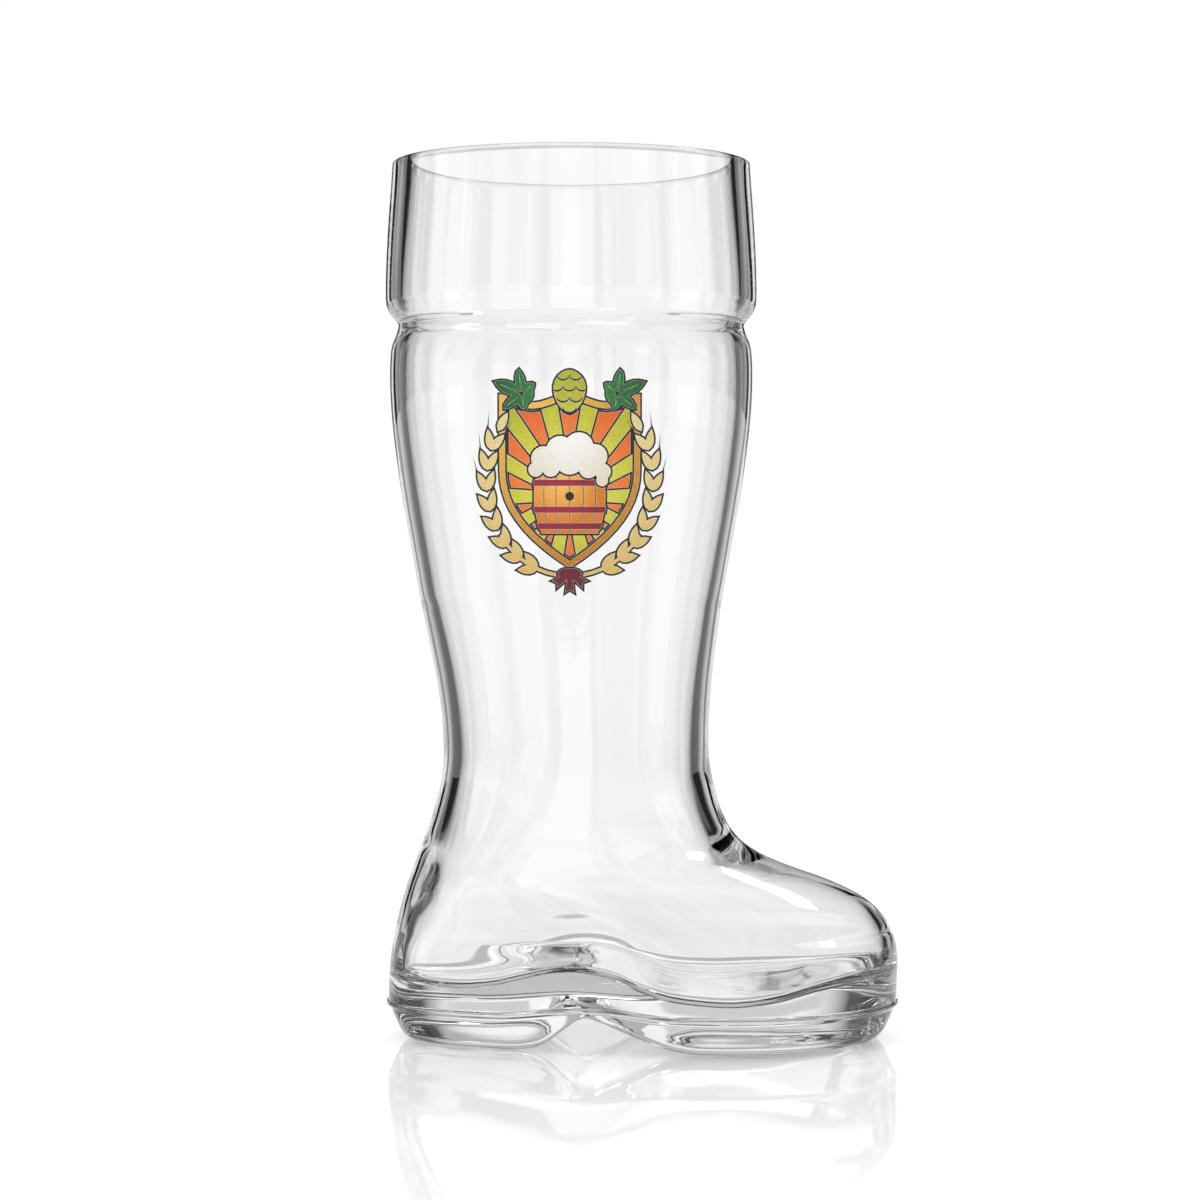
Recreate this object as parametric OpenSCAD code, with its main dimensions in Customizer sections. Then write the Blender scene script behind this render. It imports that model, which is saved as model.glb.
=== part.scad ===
/* [Overall] */
// Height from the table to the top of the rim
height = 192; // [184:1:200]
// Length of the foot from the back of the heel to the tip of the toe
foot_l = 113; // [108:1:120]
// Distance from the back of the heel to the centre line of the shaft
setback = 40.7; // [39:0.1:43]

/* [Shaft] */
// Outer diameter at the foot of the collar, the widest place of the shaft
collar_d = 81.2; // [80:0.1:84]
// How far the wall draws in from the foot of the collar to the rim
rim_in = 1.5; // [0.5:0.1:2.5]
// Depth of the groove under the collar
groove_in = 2.8; // [2:0.1:4]
// How far the calf, below the groove, stands in from the collar
calf_in = 0.9; // [0.2:0.1:1.8]
// Outer diameter where the calf has drawn in, above the ankle
shin_d = 66.4; // [64:0.1:69]
// Outer diameter of the ankle
ankle_d = 58.6; // [56:0.1:61]
// Distance from the rim down to the groove
collar_h = 35.8; // [32:0.2:40]
// Height of the shin section above the table
shin_h = 96.5; // [92:0.5:100]
// Height of the ankle above the table
ankle_h = 62; // [58:0.5:66]
// How far the ankle's centre lies in front of the shaft's centre line
ankle_shift = 1.1; // [0:0.1:3]

/* [Foot] */
// Width of the heel at the seam
heel_w = 50; // [46:0.5:54]
// Width of the foot at the ball
ball_w = 64; // [60:0.5:68]
// How far each side draws in at the waist of the sole
waist_in = 2; // [0:0.1:4]
// Height of the mould seam above the table
seam_h = 8.1; // [6:0.1:10]
// How far the mould seam stands out from the wall
seam_out = 0.45; // [0.2:0.05:0.8]
// How far the sole draws in from the seam to the flat it stands on
sole_in = 6.5; // [5:0.1:8]
// Height of the arch between heel and ball
arch_h = 7.4; // [4:0.1:9]
// Distance from the back of the heel to the top of the arch
arch_x = 43.8; // [42:0.1:46]

/* [Walls] */
// Thickness of the wall at the rim
wall_rim = 4; // [3:0.1:5]
// Radius of the rim's two polished corners
rim_round = 0.6; // [0.4:0.1:1.2]
// Thickness of the wall down the shaft
wall_shaft = 3.2; // [2.4:0.1:4]
// Thickness of the wall round the ankle
wall_ankle = 3.8; // [3:0.1:4.6]
// Thickness of the wall in the bend of the instep
wall_instep = 4.2; // [3.4:0.1:5]
// Thickness of the wall on top of the foot
wall_top = 1.8; // [1.4:0.1:2.6]
// Thickness of the wall round the toe
wall_toe = 2.6; // [2:0.1:3.4]
// Thickness of the glass under the heel
floor_heel = 13; // [11:0.1:15]
// Height of the hump inside, over the arch
floor_arch = 17.6; // [15:0.1:19]
// Thickness of the glass under the ball of the foot
floor_ball = 10.6; // [9:0.1:13]
// Height of the floor inside the toe
floor_toe = 14; // [12:0.1:16]
// Radius between the inside wall and the floor
floor_r = 3.5; // [2:0.1:5]

/* [Print] */
// Height of the middle of the print above the table
print_h = 122; // [120:0.5:124]
// Distance over which the printed shield spans the shaft
shield_w = 31; // [28:0.5:34]
// Height of the printed shield
shield_h = 37; // [34:0.5:40]
// Width of the gold border round the shield
border_w = 1.6; // [1:0.1:2.4]
// Width of the printed black lines
line_w = 0.42; // [0.3:0.02:0.6]
// Width of the printed barrel at its middle
barrel_w = 15; // [13:0.5:17]
// Height of the printed barrel
barrel_h = 15.5; // [14:0.5:17]
// Length of a printed ear of barley
ear_l = 33; // [30:0.5:36]
// Length of one printed grain
grain_l = 4.4; // [3.8:0.1:5]
// Length of a printed hop leaf
leaf_l = 11; // [9:0.5:12]
// Thickness of the fired ink
ink_t = 0.16; // [0.1:0.01:0.3]
// Clearance between the glass and the ink
ink_gap = 0.06; // [0.05:0.01:0.1]
// Clearance between neighbouring inks
ink_split = 0.03; // [0.02:0.01:0.06]

/* [Hidden] */

// Plan: origin under the middle of the box, toe towards +X, print towards -Y
shaft_x = setback - foot_l / 2;
heel_x = -foot_l / 2;
toe_x = foot_l / 2;
join_lap = 1.5;
join_inset = 0.08;
ring_points = 64;
shaft_facets = 180;
half_turn = 180;
quarter_turn = 90;

// Smooth step from 0 to 1
function ease(t) = let(c = min(max(t, 0), 1)) c * c * (3 - 2 * c);
function mix(a, b, t) = a + (b - a) * t;

// A smooth row between the rows of a table, by a Catmull-Rom curve
function row_at(rows, q) =
    let(
        last = len(rows) - 1,
        i = min(max(floor(q), 0), last - 1),
        t = q - i,
        a = rows[max(i - 1, 0)],
        b = rows[i],
        c = rows[i + 1],
        d = rows[min(i + 2, last)]
    )
    (2 * b + (c - a) * t + (2 * a - 5 * b + 4 * c - d) * t * t + (3 * b - a - 3 * c + d) * t * t * t) / 2;

// A smooth height at x along a table of [x, height], flat beyond both ends
function slope_at(table, i) =
    i <= 0 || i >= len(table) - 1 ? 0
    : (table[i + 1][1] - table[i - 1][1]) / (table[i + 1][0] - table[i - 1][0]);
function height_at(table, x) =
    let(last = len(table) - 1)
    x <= table[0][0] ? table[0][1]
    : x >= table[last][0] ? table[last][1]
    : let(
        i = max([for (k = [0 : last - 1]) if (table[k][0] <= x) k]),
        run = table[i + 1][0] - table[i][0],
        t = (x - table[i][0]) / run,
        up = t * t * (3 - 2 * t)
    )
    mix(table[i][1], table[i + 1][1], up)
    + run * (t * (1 - t) * (1 - t) * slope_at(table, i) - t * t * (1 - t) * slope_at(table, i + 1));

// Shaft: the outer radius from the shin section up to the rim
rim_d = collar_d - 2 * rim_in;
groove_d = collar_d - 2 * groove_in;
calf_d = collar_d - 2 * calf_in;
groove_z = height - collar_h;
groove_up = 5.4;
groove_down = 5.6;
calf_swell = 6;
collar_z = groove_z + groove_up;
calf_z = groove_z - groove_down - calf_swell;
rim_z = height - rim_round;
rim_steps = 5;

// Shares of the way from the shin up to the calf: height, then radius
calf_shares = [[0, 0], [0.13, 0.17], [0.27, 0.35], [0.41, 0.53], [0.55, 0.69], [0.68, 0.82],
    [0.8, 0.92], [0.9, 0.975], [1, 1]];
// Shares of the groove's upper flank: height, then radius
groove_shares = [[0, 0], [0.12, 0.05], [0.34, 0.34], [0.55, 0.68], [0.8, 0.9], [1, 0.975]];
// Shares of the groove's lower flank: height, then radius
under_shares = [[0, 1], [0.35, 0.96], [0.62, 0.78], [0.84, 0.28], [1, 0]];
// Shares of the way from the collar's foot up to the rim: height, then radius
collar_shares = [[0.08, 0], [0.25, 0.07], [0.45, 0.25], [0.65, 0.5], [0.85, 0.8], [1, 1]];

shaft_rows = concat(
    [for (s = calf_shares) [mix(shin_h, calf_z, s[0]), mix(shin_d, calf_d, s[1]) / 2]],
    [for (s = under_shares) if (s[0] > 0)
        [mix(calf_z, groove_z, s[0]), mix(groove_d, calf_d, s[1]) / 2]],
    [for (s = groove_shares) if (s[0] > 0)
        [mix(groove_z, collar_z, s[0]), mix(groove_d, collar_d, s[1]) / 2]],
    [for (s = collar_shares) [mix(collar_z, rim_z, s[0]), mix(collar_d, rim_d, s[1]) / 2]]
);
shin_slope = (shaft_rows[1][1] - shaft_rows[0][1]) / (shaft_rows[1][0] - shaft_rows[0][0]);
function shaft_wall(z) = mix(wall_shaft, wall_rim, ease((z - groove_z) / (rim_z - groove_z)));
cavity_rows = [for (r = shaft_rows) [r[0], r[1] - shaft_wall(r[0])]];
function rim_corner(r, from) = [for (k = [0 : rim_steps])
    let(a = from + quarter_turn * k / rim_steps)
    [r + rim_round * cos(a), rim_z + rim_round * sin(a)]];
rim_top = concat(
    rim_corner(rim_d / 2 - rim_round, 0),
    rim_corner(rim_d / 2 - wall_rim + rim_round, quarter_turn)
);
// The rim's first and last points are already on the wall
rim_arc = [for (k = [1 : len(rim_top) - 2]) rim_top[k]];
function turned(rows) = [for (r = rows) [r[1], r[0]]];
function reversed(list) = [for (i = [len(list) - 1 : -1 : 0]) list[i]];

module shaft() {
    translate([shaft_x, 0, 0])
        rotate_extrude($fn = shaft_facets)
            polygon(concat(turned(shaft_rows), rim_arc, reversed(turned(cavity_rows))));
}

// Foot: sections from the shin down to the seam, one row each
// Each row: height, back, front, depth of the heel's round, depth of the toe's round,
// half width at the heel, half width at the ball, waist share, wall behind, wall in front, wall at the side
shin_r = shin_d / 2;
ankle_r = ankle_d / 2;
ankle_x = shaft_x + ankle_shift;
// Shares of the way from the shin down to the ankle: height, radius, shift of the centre
leg_shares = [[0, 0, 0], [0.27, 0.41, 0.3], [0.52, 0.757, 0.6], [0.76, 0.96, 0.85], [1, 1, 1]];
// Shares of the ankle's height; then of the way from the ankle to the heel and to the toe; the depths of
// the two rounds as shares of the section's length; the widths as shares of the way from ankle to sole; waist
foot_shares = [
    [0.9, 0.06, 0.025, 0.492, 0.508, 0.12, -0.25, 0],
    [0.8, 0.19, 0.07, 0.467, 0.533, 0.3, -0.5, 0],
    [0.72, 0.33, 0.14, 0.435, 0.565, 0.45, -0.72, 0],
    [0.66, 0.44, 0.25, 0.394, 0.59, 0.54, -0.85, 0],
    [0.61, 0.535, 0.414, 0.35, 0.62, 0.61, -0.85, 0],
    [0.56, 0.63, 0.624, 0.307, 0.62, 0.67, -0.7, 0],
    [0.51, 0.71, 0.786, 0.278, 0.58, 0.72, -0.5, 0],
    [0.46, 0.78, 0.886, 0.26, 0.53, 0.77, -0.2, 0.1],
    [0.38, 0.87, 0.968, 0.245, 0.455, 0.85, 0.35, 0.35],
    [0.28, 0.94, 0.998, 0.235, 0.4, 0.93, 0.85, 0.7],
    [0.2, 0.975, 0.996, 0.23, 0.38, 0.98, 0.98, 0.9],
    [seam_h / ankle_h, 0.985, 0.992, 0.23, 0.372, 1, 1, 1]
];
// Walls that go with those rows: behind, in front, at the side
foot_walls = [
    [wall_ankle, wall_instep, wall_ankle],
    [wall_ankle, wall_instep, mix(wall_ankle, wall_shaft, 0.33)],
    [wall_ankle, wall_instep, mix(wall_ankle, wall_shaft, 0.5)],
    [wall_shaft, mix(wall_top, wall_instep, 0.5), wall_shaft],
    [wall_shaft, mix(wall_top, wall_instep, 0.14), mix(wall_toe, wall_shaft, 0.5)],
    [wall_shaft, wall_top, wall_toe],
    [wall_shaft, wall_top, wall_toe],
    [wall_shaft, mix(wall_top, wall_toe, 0.25), wall_toe],
    [wall_shaft, mix(wall_top, wall_toe, 0.75), wall_toe],
    [wall_shaft, wall_toe, wall_toe],
    [wall_shaft, wall_toe, wall_toe],
    [wall_shaft, wall_toe, wall_toe]
];
leg_rows = [for (s = leg_shares)
    let(
        inset = s[0] == 0 ? join_inset : 0,
        r = mix(shin_r, ankle_r, s[1]) - inset,
        c = mix(shaft_x, ankle_x, s[2]),
        w = mix(wall_shaft, wall_ankle, s[0]) - 2 * inset
    )
    [mix(shin_h, ankle_h, s[0]), c - r, c + r, r, r, r, r, 0, w, w, w]];
foot_rows = [for (i = [0 : len(foot_shares) - 1])
    let(
        s = foot_shares[i],
        back = mix(ankle_x - ankle_r, heel_x, s[1]),
        front = mix(ankle_x + ankle_r, toe_x, s[2]),
        l = front - back,
        heel = mix(ankle_r, heel_w / 2, s[5]),
        ball = mix(ankle_r, ball_w / 2, s[6])
    )
    concat([ankle_h * s[0], back, front, l * s[3], l * s[4], heel, ball, s[7]], foot_walls[i])];
boot_rows = concat(leg_rows, foot_rows);
seam_q = len(boot_rows) - 1;
low_q = seam_q - 3;
low_z = boot_rows[low_q][0];

// The sides run from the heel's round into the toe's between these two turns
side_from_angle = 20;
side_to_angle = 110;
waist_angle = 72;
waist_spread_angle = 30;
function waist(a) =
    let(d = abs(a - waist_angle) / waist_spread_angle)
    d < 1 ? pow(cos(quarter_turn * d), 2) : 0;

// One point of a section, a turned from the back, with the wall taken off where wall is 1
function outline(row, a, thick, inset = 0) =
    let(
        half = a <= half_turn ? a : 2 * half_turn - a,
        side = a <= half_turn ? 1 : -1,
        back = row[1] + thick[0] + inset,
        front = row[2] - thick[1] - inset,
        heel_depth = row[3] - thick[0] - inset,
        toe_depth = row[4] - thick[1] - inset,
        e = ease((half - side_from_angle) / (side_to_angle - side_from_angle)),
        c = mix(back + heel_depth, front - toe_depth, e),
        rx = mix(heel_depth, toe_depth, e),
        ry = mix(row[5], row[6], e) - thick[2] - inset - waist_in * row[7] * waist(half)
    )
    [c - rx * cos(half), side * ry * sin(half)];

// Thickness across a section of walls that lean: the wall times the length of its slope
function leaning(q) =
    let(
        step = 1 / 4,
        up = row_at(boot_rows, max(q - step, 0)),
        down = row_at(boot_rows, min(q + step, seam_q)),
        row = row_at(boot_rows, q),
        drop = up[0] - down[0]
    )
    q == 0 ? [row[8], row[9], row[10]]
    : [row[8] * norm([1, (up[1] - down[1]) / drop]), row[9] * norm([1, (up[2] - down[2]) / drop]), row[10]];

// Along the foot: the seam, the arch under it and the floor inside, as [x, height]
function along(share) = heel_x + foot_l * share;
arch_at = heel_x + arch_x;
arch_shares = [[-0.48, 0], [-0.3, 0.03], [-0.2, 0.2], [-0.1, 0.66], [-0.03, 0.97], [0, 1],
    [0.06, 0.9], [0.2, 0.56], [0.34, 0.24], [0.46, 0.06], [0.58, 0]];
arch = [for (s = arch_shares) [arch_at + arch_x * s[0], arch_h * s[1]]];
seam_rise = 1.6;
seam_run = 20;
function seam_z(x) = seam_h + seam_rise * (1 - ease(abs(x - arch_at) / seam_run));
floor_line = [
    [along(0.05), floor_heel],
    [along(0.14), floor_heel],
    [along(0.21), mix(floor_heel, floor_arch, 0.2)],
    [along(0.27), mix(floor_heel, floor_arch, 0.58)],
    [along(0.33), mix(floor_heel, floor_arch, 0.93)],
    [along(0.385), floor_arch],
    [along(0.44), mix(floor_ball, floor_arch, 0.82)],
    [along(0.49), mix(floor_ball, floor_arch, 0.47)],
    [along(0.54), mix(floor_ball, floor_arch, 0.2)],
    [along(0.6), mix(floor_ball, floor_arch, 0.06)],
    [along(0.67), floor_ball],
    [along(0.75), mix(floor_ball, floor_toe, 0.25)],
    [along(0.82), mix(floor_ball, floor_toe, 0.75)],
    [along(0.9), floor_toe]
];

// Turns of a ring's points about the middle of a section
half_points = ring_points / 2;
turns = [for (i = [0 : ring_points - 1]) 2 * half_turn * i / ring_points];

// A level ring of points on section q, with the walls taken off
function level_ring(q, thick) =
    let(row = row_at(boot_rows, q))
    [for (a = turns) let(p = outline(row, a, thick)) [p[0], p[1], row[0]]];
no_wall = [0, 0, 0];

// Outside: level rings, then rings that lower to the seam, the seam's ridge and the sole
ring_qs = concat([for (q = [0 : len(leg_rows) - 1]) q],
    [for (q = [len(leg_rows) - 1 / 2 : 1 / 2 : low_q]) q]);
lower_steps = 3;
round_rings = 3;
function settle_ring(k) =
    let(t = k / lower_steps, row = row_at(boot_rows, mix(low_q, seam_q, t)))
    [for (a = turns) let(p = outline(row, a, no_wall)) [p[0], p[1], mix(low_z, seam_z(p[0]) + seam_out, t)]];
// Shares of the drop from the seam to the ground, then of how far the sole draws in
sole_shares = [[0.06, 0.05], [0.3, 0.17], [0.56, 0.31], [0.78, 0.46], [0.93, 0.68], [1, 1]];
seam_row = boot_rows[seam_q];
function ridge_ring() =
    [for (a = turns) let(p = outline(seam_row, a, no_wall, -seam_out)) [p[0], p[1], seam_z(p[0])]];
function sole_ring(s) =
    [for (a = turns)
        let(p = outline(seam_row, a, no_wall, sole_in * s[1]))
        [p[0], p[1], mix(seam_z(p[0]), max(height_at(arch, p[0]), 0), s[0])]];
outer_rings = concat(
    [join_ring(0)],
    [for (q = ring_qs) level_ring(q, no_wall)],
    [for (k = [1 : lower_steps]) settle_ring(k)],
    [ridge_ring()],
    [for (s = sole_shares) sole_ring(s)]
);

// Inside: level rings, rings that lower to the floor, and the round into the floor
function cavity_settle(k) =
    let(t = k / lower_steps, q = mix(low_q, seam_q - 1, t), row = row_at(boot_rows, q), w = leaning(q))
    [for (a = turns)
        let(p = outline(row, a, w))
        [p[0], p[1], mix(low_z, height_at(floor_line, p[0]) + floor_r, t)]];
function cavity_round(turn) =
    let(row = boot_rows[seam_q - 1], w = leaning(seam_q - 1))
    [for (a = turns)
        let(p = outline(row, a, w, floor_r * (1 - cos(turn))))
        [p[0], p[1], height_at(floor_line, p[0]) + floor_r * (1 - sin(turn))]];
inner_rings = concat(
    [join_ring(leg_rows[0][10])],
    [for (q = ring_qs) level_ring(q, leaning(q))],
    [for (k = [1 : lower_steps]) cavity_settle(k)],
    [for (k = [1 : round_rings]) cavity_round(quarter_turn * k / round_rings)]
);

// The first ring of each skin stands inside the wall of the shaft, so that the two solids lap
function join_ring(wall) =
    let(r = leg_rows[0][4] + join_lap * shin_slope - wall)
    [for (a = turns) [shaft_x - r * cos(a), r * sin(a), shin_h + join_lap]];

// Triangles between ring i and ring i + 1 of a skin whose points start at base
function band(base, i) =
    [for (k = [0 : ring_points - 1])
        let(
            n = (k + 1) % ring_points,
            a = base + i * ring_points + k,
            b = base + i * ring_points + n,
            c = a + ring_points,
            d = b + ring_points
        )
        each [[a, b, d], [a, d, c]]];
// Triangles across a ring from side to side, in strips of one height
function strips(start) =
    [for (k = [0 : half_points - 1])
        let(
            a = start + k,
            b = start + k + 1,
            c = start + (ring_points - k) % ring_points,
            d = start + ring_points - k - 1
        )
        each k == 0 ? [[a, b, d]] : k == half_points - 1 ? [[a, b, c]] : [[a, b, d], [a, d, c]]];
function flipped(faces) = [for (f = faces) [f[0], f[2], f[1]]];

module foot() {
    outer_n = len(outer_rings) * ring_points;
    points = concat([for (r = outer_rings) each r], [for (r = inner_rings) each r]);
    outer_skin = [for (i = [0 : len(outer_rings) - 2]) each band(0, i)];
    inner_skin = [for (i = [0 : len(inner_rings) - 2]) each band(outer_n, i)];
    lip = [for (k = [0 : ring_points - 1])
        let(n = (k + 1) % ring_points)
        each [[k, outer_n + n, n], [k, outer_n + k, outer_n + n]]];
    sole = strips(outer_n - ring_points);
    floor_faces = strips(outer_n + (len(inner_rings) - 1) * ring_points);
    polyhedron(points, concat(flipped(concat(outer_skin, sole, lip)), inner_skin, floor_faces));
}

module glass_boot() {
    color([0.93, 0.96, 0.96, 0.5])
        union() {
            shaft();
            foot();
        }
}

// Print: flat shapes of the design, in millimetres from its middle, before they wrap round the shaft
wrap_r = (shin_d + calf_d) / 4;
ink_reach = collar_d / 2 + border_w;
round_steps = 24;
function wrapped(points) =
    [for (p = points) [wrap_r * sin(half_turn / PI * p[0] / wrap_r), p[1]]];
function turned_by(p, a) = [p[0] * cos(a) - p[1] * sin(a), p[0] * sin(a) + p[1] * cos(a)];
function placed(points, at, a = 0) = [for (p = points) at + turned_by(p, a)];
function mirrored(points) = [for (p = points) [-p[0], p[1]]];
module flat(points) polygon(wrapped(points));
module both_sides(points) {
    flat(points);
    flat(mirrored(points));
}

// Shield: straight sides that close to a point, under a top edge with two hollows
shield_steps = 10;
shield_dip_share = 0.05;
shield_side_share = 0.06;
shield_close = 2.1;
function shield_half() = concat(
    [for (k = [0 : shield_steps])
        let(t = k / shield_steps)
        [shield_w / 2 * t, shield_h * (0.5 - shield_dip_share * pow(sin(half_turn * t), 2))]],
    [for (k = [0 : shield_steps])
        let(t = k / shield_steps)
        [shield_w / 2 * (1 - pow(t, shield_close)), shield_h * mix(shield_side_share, -0.5, t)]]
);
function shield_points() = concat(shield_half(), reversed(mirrored(shield_half())));
module shield() flat(shield_points());
module shield_field() offset(delta = -border_w - line_w) shield();

// Sun rays behind the barrel
ray_count = 14;
ray_spread = 5.2;
ray_centre = [0, -shield_h / 12];
ray_in_share = 0.45;
ray_in = barrel_w * ray_in_share;
module sun_rays()
    intersection() {
        offset(delta = -line_w) shield_field();
        for (k = [0 : ray_count - 1])
            let(a = 2 * half_turn * (k + 0.5) / ray_count)
            flat(placed([[ray_in, 0], [shield_h, -ray_spread], [shield_h, ray_spread]], ray_centre, a));
    }

// Barrel with hoops, and froth that spills over its head
barrel_bulge_share = 0.22;
barrel_steps = 8;
barrel_mid = ray_centre;
hoop_shares = [-0.8, -0.36, 0.36, 0.8];
hoop_t = 1.3;
hoop_out = 0.25;
bung_d = 1.9;
stave_shares = [-0.72, -0.38, 0, 0.38, 0.72];
function barrel_half(v) = barrel_w / 2 * (1 - barrel_bulge_share * v * v);
function barrel_edge(share, v) = [barrel_half(v) * share, barrel_h / 2 * v];
function barrel_band(v0, v1, share0, share1) = placed(concat(
    [for (k = [0 : barrel_steps]) barrel_edge(share1, mix(v0, v1, k / barrel_steps))],
    [for (k = [barrel_steps : -1 : 0]) barrel_edge(share0, mix(v0, v1, k / barrel_steps))]
), barrel_mid);
module barrel() flat(barrel_band(-1, 1, -1, 1));
module hoops() {
    reach = hoop_t / barrel_h;
    across = 1 + 2 * hoop_out / barrel_w;
    for (v = hoop_shares) flat(barrel_band(v - reach, v + reach, -across, across));
}
module staves() {
    thin = line_w / barrel_w;
    for (share = stave_shares) flat(barrel_band(-1, 1, share - thin / 2, share + thin / 2));
    translate(barrel_mid) circle(d = bung_d, $fn = round_steps);
}
// Froth bubbles as shares of the barrel's width: across, up, radius
froth_shares = [[-0.36, 0.52, 0.17], [-0.13, 0.64, 0.19], [0.13, 0.68, 0.2], [0.35, 0.55, 0.17],
    [0, 0.5, 0.2], [-0.47, 0.37, 0.1], [-0.26, 0.39, 0.12], [0.26, 0.38, 0.13], [0.46, 0.34, 0.11],
    [0.45, 0.22, 0.08]];
module froth()
    for (s = froth_shares)
        translate(barrel_mid + barrel_w * [s[0], s[1]]) circle(r = barrel_w * s[2], $fn = round_steps);

// Ears of barley that curve up both sides of the shield from a tie at its foot
ear_off = 1;
ear_rx = shield_w / 2 + border_w + ear_off;
ear_ry = shield_h / 2 + border_w - line_w;
grain_pairs = 8;
grain_w_share = 0.42;
grain_w = grain_l * grain_w_share;
grain_round = 0.8;
grain_lean_angle = 27;
grain_steps = 5;
ear_angle = half_turn / PI * ear_l / ((ear_rx + ear_ry) / 2);
ear_from_angle = -68;
function on_ear(a) = [ear_rx * cos(a), ear_ry * sin(a)];
function ear_heading(a) = atan2(ear_ry * cos(a), -ear_rx * sin(a));
function grain_half(side) = [for (k = [0 : grain_steps])
    let(t = k / grain_steps)
    [grain_l * t, side * grain_w / 2 * pow(sin(half_turn * pow(t, grain_round)), grain_round)]];
grain = concat(grain_half(1), reversed(grain_half(-1)));
function grain_at(k, side) =
    let(a = ear_from_angle + ear_angle * k / grain_pairs)
    placed(grain, on_ear(a), ear_heading(a) + side * grain_lean_angle);
stalk_t = 0.63;
stalk_steps = 8;
stalk_from_angle = ear_from_angle + ear_angle / 3;
stalk_to_angle = -99;
function stalk() = concat(
    [for (k = [0 : stalk_steps])
        let(a = mix(stalk_from_angle, stalk_to_angle, k / stalk_steps))
        on_ear(a) * (1 + stalk_t / ear_rx / 2)],
    [for (k = [stalk_steps : -1 : 0])
        let(a = mix(stalk_from_angle, stalk_to_angle, k / stalk_steps))
        on_ear(a) * (1 - stalk_t / ear_rx / 2)]
);
module ears() {
    for (k = [0 : grain_pairs - 1], side = [-1, 1]) both_sides(grain_at(k, side));
    both_sides(placed(grain, on_ear(ear_from_angle + ear_angle), ear_heading(ear_from_angle + ear_angle)));
    both_sides(stalk());
}
awn_l = 4;
module awns()
    for (k = [grain_pairs - 3 : grain_pairs - 1], side = [-1, 1])
        let(
            a = ear_from_angle + ear_angle * k / grain_pairs,
            turn = ear_heading(a) + side * grain_lean_angle,
            tip = on_ear(a) + turned_by([grain_l, 0], turn),
            awn = [[-line_w, -line_w / 2], [awn_l, 0], [-line_w, line_w / 2]]
        )
        both_sides(placed(awn, tip, turn - side * grain_lean_angle / 2));

// Tie where the stalks cross
tie_w = 5;
tie_h = 2.4;
tie_at = [0, line_w - ear_ry];
tail_l = 3.9;
tail_notch = 0.6;
tail_w_share = 0.77;
tail_turns = [-35, -90, -145];
module tie() {
    flat(placed([for (k = [0 : round_steps - 1])
        let(a = 2 * half_turn * k / round_steps)
        [tie_w / 2 * cos(a), tie_h / 2 * sin(a)]], tie_at));
    half = tie_h * tail_w_share / 2;
    tail = [[0, -half / 2], [tail_l, -half], [tail_l - tail_notch, 0], [tail_l, half], [0, half / 2]];
    for (turn = tail_turns) flat(placed(tail, tie_at, turn));
}

// Hop leaves on the shield's shoulders, with a cone between them
leaf_at_share = [0.32, 0.49];
leaf_at = [shield_w * leaf_at_share[0], shield_h * leaf_at_share[1]];
leaf_angle = 22;
leaf_steps = 48;
// Lobes of a leaf: direction, half spread, length as a share of the leaf
leaf_lobes = [[0, 30, 1], [58, 26, 0.78], [-58, 26, 0.78], [118, 24, 0.5], [-118, 24, 0.5]];
leaf_base_share = 0.34;
leaf_scale_share = 0.62;
vein_share = 0.46;
function lobe_reach(a, lobe) =
    let(d = abs(a - lobe[0]) / lobe[1])
    d < 1 ? (1 - d) * (lobe[2] - leaf_base_share) : 0;
function leaf_reach(a) =
    leaf_l * leaf_scale_share * (leaf_base_share + max([for (lobe = leaf_lobes) lobe_reach(a, lobe)]));
leaf = [for (k = [0 : leaf_steps - 1])
    let(a = 2 * half_turn * k / leaf_steps - half_turn)
    leaf_reach(a) * [cos(a), sin(a)]];
module leaves() both_sides(placed(leaf, leaf_at, leaf_angle));
module veins()
    for (lobe = leaf_lobes)
        both_sides(placed([[0, -line_w / 2], [leaf_l * vein_share * lobe[2], 0], [0, line_w / 2]],
            leaf_at, leaf_angle + lobe[0]));
cone_l = 9;
cone_w = 6.6;
cone_at = [0, shield_h / 2];
cone_rows = 4;
cone_round = 0.6;
cone_taper_share = 0.18;
scale_across_share = 0.2;
scale_top_share = 0.42;
scale_row_share = 0.25;
scale_r_share = 0.24;
function cone_half(v) = cone_w / 2 * pow(max(1 - v * v, 0), cone_round) * (1 - cone_taper_share * v);
module cone()
    flat(placed([for (k = [0 : round_steps - 1])
        let(a = 2 * half_turn * k / round_steps, v = sin(a))
        [cone_half(v) * (cos(a) < 0 ? -1 : 1), -cone_l / 2 * v]], cone_at));
module scales()
    intersection() {
        cone();
        for (k = [0 : cone_rows - 1], side = [-1, 0, 1])
            let(
                wide = k % 2 == 1,
                across = side * cone_w * scale_across_share * (wide ? 2 : 1),
                up = cone_l * (scale_top_share - scale_row_share * k)
            )
            if (side != 0 || wide)
                translate(cone_at + [across, up])
                    difference() {
                        circle(r = cone_w * scale_r_share, $fn = round_steps);
                        translate([0, line_w]) circle(r = cone_w * scale_r_share, $fn = round_steps);
                    }
    }

// What lies over what, each ring of shapes with its black line round it
module lined() offset(delta = line_w) children();
module over_leaves() lined() {
    tie();
    ears();
    cone();
}
module over_froth() {
    over_leaves();
    lined() leaves();
}
module over_barrel() {
    over_froth();
    lined() froth();
}
module over_rays() {
    over_barrel();
    lined() {
        barrel();
        hoops();
    }
}
module fine_lines() {
    difference() {
        staves();
        over_barrel();
        hoops();
    }
    difference() {
        veins();
        over_leaves();
    }
    difference() {
        scales();
        lined() {
            tie();
            ears();
        }
    }
    difference() {
        awns();
        over_froth();
    }
}

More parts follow.
